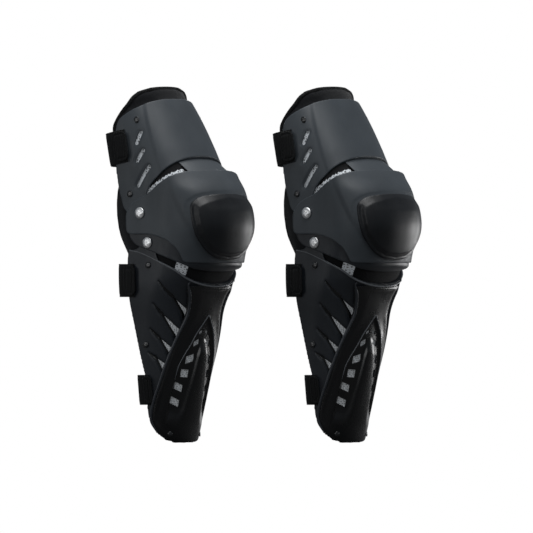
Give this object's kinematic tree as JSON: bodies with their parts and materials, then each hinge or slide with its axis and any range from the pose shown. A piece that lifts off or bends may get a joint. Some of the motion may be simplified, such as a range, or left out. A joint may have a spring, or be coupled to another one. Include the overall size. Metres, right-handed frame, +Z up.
{
  "type": "motorcycle knee and shin guards",
  "caption": "Hinged hard-shell guards for thigh, knee and shin on padded liners, with a domed knee cap, a vented shin plate and hook-and-loop straps behind the leg.",
  "frame": {"origin": "midway between the two legs, level with the lower edge of the guards, in the plane of the upper rivets", "axes": "+Z up along the leg, -Y the front of the leg, X across from one leg to the other"},
  "size_m": [0.5288, 0.1815, 0.4947],
  "materials": {
    "slate_plastic": "fine matte moulded texture",
    "dome_plastic": "smooth satin",
    "black_plastic": "fine matte moulded texture",
    "gloss_plastic": "polished gloss",
    "liner_fabric": "brushed knit over foam",
    "foam": "open-cell foam in knit",
    "webbing": "ribbed woven webbing",
    "steel": "polished"
  },
  "bodies": {
    "a_shin": {"a_shin_shell": "black_plastic", "a_shin_spine": "gloss_plastic", "a_shin_liner": "liner_fabric", "a_upper_calf_strap": "webbing", "a_upper_calf_tab": "webbing", "a_upper_calf_anchor": "black_plastic", "a_lower_calf_strap": "webbing", "a_lower_calf_tab": "webbing", "a_lower_calf_anchor": "black_plastic", "a_shin_snap_left_1": "steel", "a_shin_snap_left_2": "steel", "a_shin_snap_right_1": "steel", "a_shin_snap_right_2": "steel"},
    "a_knee": {"a_knee_cup": "slate_plastic", "a_knee_dome": "dome_plastic", "a_link_plate": "black_plastic", "a_knee_pad": "foam", "a_upper_rivet_left": "steel", "a_upper_rivet_right": "steel", "a_lower_rivet_left": "steel", "a_lower_rivet_right": "steel"},
    "a_thigh": {"a_thigh_shell": "slate_plastic", "a_thigh_liner": "liner_fabric", "a_thigh_strap": "webbing", "a_thigh_tab": "webbing", "a_thigh_anchor": "black_plastic", "a_thigh_snap_left_1": "steel", "a_thigh_snap_left_2": "steel", "a_thigh_snap_right_1": "steel", "a_thigh_snap_right_2": "steel"},
    "b_shin": {"b_shin_shell": "black_plastic", "b_shin_spine": "gloss_plastic", "b_shin_liner": "liner_fabric", "b_upper_calf_strap": "webbing", "b_upper_calf_tab": "webbing", "b_upper_calf_anchor": "black_plastic", "b_lower_calf_strap": "webbing", "b_lower_calf_tab": "webbing", "b_lower_calf_anchor": "black_plastic", "b_shin_snap_left_1": "steel", "b_shin_snap_left_2": "steel", "b_shin_snap_right_1": "steel", "b_shin_snap_right_2": "steel"},
    "b_knee": {"b_knee_cup": "slate_plastic", "b_knee_dome": "dome_plastic", "b_link_plate": "black_plastic", "b_knee_pad": "foam", "b_upper_rivet_left": "steel", "b_upper_rivet_right": "steel", "b_lower_rivet_left": "steel", "b_lower_rivet_right": "steel"},
    "b_thigh": {"b_thigh_shell": "slate_plastic", "b_thigh_liner": "liner_fabric", "b_thigh_strap": "webbing", "b_thigh_tab": "webbing", "b_thigh_anchor": "black_plastic", "b_thigh_snap_left_1": "steel", "b_thigh_snap_left_2": "steel", "b_thigh_snap_right_1": "steel", "b_thigh_snap_right_2": "steel"}
  },
  "joints": [
    {"name": "b_stand_apart", "type": "slide", "parent": "a_shin", "child": "b_shin", "axis": [1, 0, 0], "range_m": [0, 0.1]},
    {"name": "a_lower_hinge", "type": "hinge", "parent": "a_shin", "child": "a_knee", "pos_m": [-0.1805, -0.011, 0.2817], "axis": [-1, 0, 0], "range_deg": [-8, 34]},
    {"name": "a_upper_hinge", "type": "hinge", "parent": "a_knee", "child": "a_thigh", "pos_m": [-0.1805, 0, 0.323], "axis": [-1, 0, 0], "range_deg": [-8, 38]},
    {"name": "b_lower_hinge", "type": "hinge", "parent": "b_shin", "child": "b_knee", "pos_m": [0.1805, -0.011, 0.2817], "axis": [-1, 0, 0], "range_deg": [-8, 34]},
    {"name": "b_upper_hinge", "type": "hinge", "parent": "b_knee", "child": "b_thigh", "pos_m": [0.1805, 0, 0.323], "axis": [-1, 0, 0], "range_deg": [-8, 38]}
  ]
}
